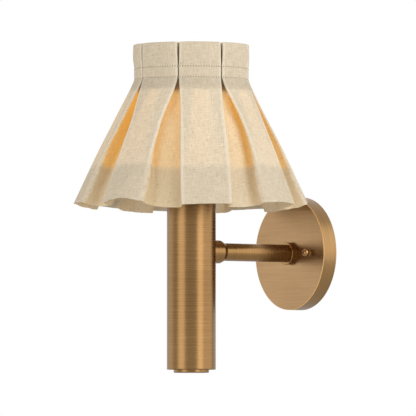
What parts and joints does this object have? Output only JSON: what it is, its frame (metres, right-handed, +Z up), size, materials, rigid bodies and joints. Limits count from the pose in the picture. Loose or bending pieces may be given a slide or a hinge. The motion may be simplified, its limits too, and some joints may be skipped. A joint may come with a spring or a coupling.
{
  "type": "fabric shade wall light",
  "caption": "Wall light: a round brass plate and short arm carry an upright column with a box-pleated canvas shade.",
  "frame": {"origin": "centre of the wall plate's rim, on the wall", "axes": "+Z up, +Y into the wall; the arm runs out along -Y"},
  "size_m": [0.2268, 0.2576, 0.3388],
  "materials": {
    "brushed_brass": "antique brass, finely brushed and lacquered",
    "zinc_steel": "zinc-plated steel",
    "green_screw": "green-passivated earth screw",
    "black_moulding": "black heat-proof moulding",
    "porcelain": "glazed white porcelain",
    "nickel_sheet": "nickel-plated brass sheet",
    "white_moulding": "white moulded lamp housing",
    "opal_globe": "opal diffuser, warm white when lit",
    "black_lead": "black insulated lead",
    "white_lead": "white insulated lead",
    "white_wire": "white-coated steel wire",
    "oatmeal_canvas": "coarse natural cotton-linen canvas"
  },
  "bodies": {
    "root": {"mounting_disc": "zinc_steel", "earth_screw": "green_screw", "plate_studs": "zinc_steel", "stud_nuts": "zinc_steel", "wall_plate": "brushed_brass", "arm_rod": "zinc_steel", "plate_washer": "zinc_steel", "plate_nut": "zinc_steel", "wall_collar": "brushed_brass", "arm_tube": "brushed_brass", "column_collar": "brushed_brass", "column_tube": "brushed_brass", "saddle_washer": "zinc_steel", "column_nut": "zinc_steel", "bottom_cap": "brushed_brass", "top_cap": "brushed_brass", "holder_nipple": "zinc_steel", "holder_nut": "zinc_steel", "holder_base": "black_moulding", "holder_skirt": "black_moulding", "holder_insert": "porcelain", "screw_shell": "nickel_sheet", "centre_contact": "nickel_sheet", "terminal_screws": "nickel_sheet", "live_lead": "black_lead", "neutral_lead": "white_lead"},
    "finial_left": {"finial_left": "brushed_brass"},
    "finial_right": {"finial_right": "brushed_brass"},
    "lamp": {"lamp_contact": "nickel_sheet", "lamp_insulator": "black_moulding", "lamp_base": "nickel_sheet", "lamp_housing": "white_moulding", "lamp_diffuser": "opal_globe", "lamp_board": "white_moulding"},
    "shade": {"fitter_ring": "white_wire", "fitter_spokes": "white_wire", "lower_ring": "white_wire", "upper_ring": "white_wire", "frame_ribs": "white_wire", "canvas_shade": "oatmeal_canvas"},
    "clamp_ring": {"clamp_ring": "black_moulding"}
  },
  "joints": [
    {"name": "shade_turn", "type": "hinge", "parent": "root", "child": "shade", "pos_m": [0, -0.14425, 0.08], "axis": [0, 0, 1], "continuous": true},
    {"name": "clamp_ring_turn", "type": "hinge", "parent": "root", "child": "clamp_ring", "pos_m": [0, -0.14425, 0.085], "axis": [0, 0, 1], "continuous": true},
    {"name": "lamp_turn", "type": "hinge", "parent": "root", "child": "lamp", "pos_m": [0, -0.14425, 0.1], "axis": [0, 0, 1], "continuous": true},
    {"name": "finial_left_turn", "type": "hinge", "parent": "root", "child": "finial_left", "pos_m": [-0.03492, -0.02, 0], "axis": [0, -1, 0], "continuous": true},
    {"name": "finial_right_turn", "type": "hinge", "parent": "root", "child": "finial_right", "pos_m": [0.03492, -0.02, 0], "axis": [0, -1, 0], "continuous": true}
  ]
}
